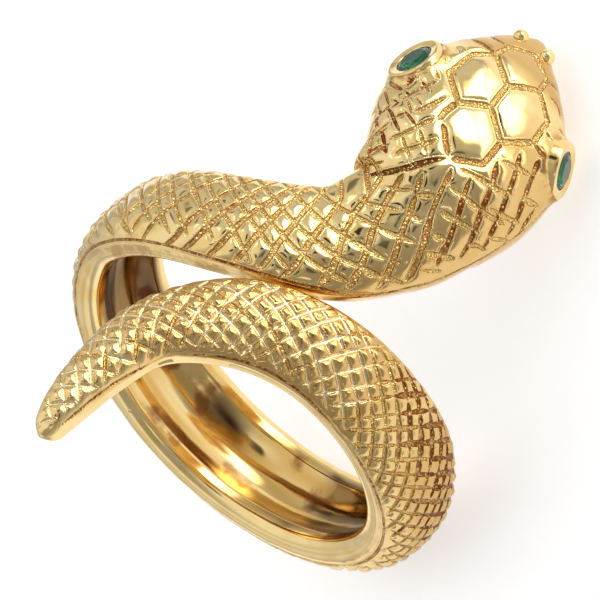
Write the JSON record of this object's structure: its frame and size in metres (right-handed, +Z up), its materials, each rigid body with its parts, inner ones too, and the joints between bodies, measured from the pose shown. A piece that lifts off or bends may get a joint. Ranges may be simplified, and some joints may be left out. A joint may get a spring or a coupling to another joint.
{
  "type": "snake ring with emerald eyes",
  "caption": "Gold bypass finger ring in the shape of a scaled snake, its head and tail lying along the finger in opposite directions, with round faceted emerald eyes in tube bezels.",
  "frame": {"origin": "on the surface that the ring lies on, under the middle of its bounding box", "axes": "+Z up, as the ring lies on its side on its snout and far rim; the finger's axis leans 46.8 degrees up from +X in the XZ plane, and the tail points along it towards +X and +Z"},
  "size_m": [0.0268, 0.023, 0.025],
  "materials": {
    "gold": null,
    "emerald": "faceted green stone"
  },
  "bodies": {
    "root": {"gold_snake": "gold", "left_eye_emerald": "emerald", "right_eye_emerald": "emerald"}
  },
  "joints": []
}
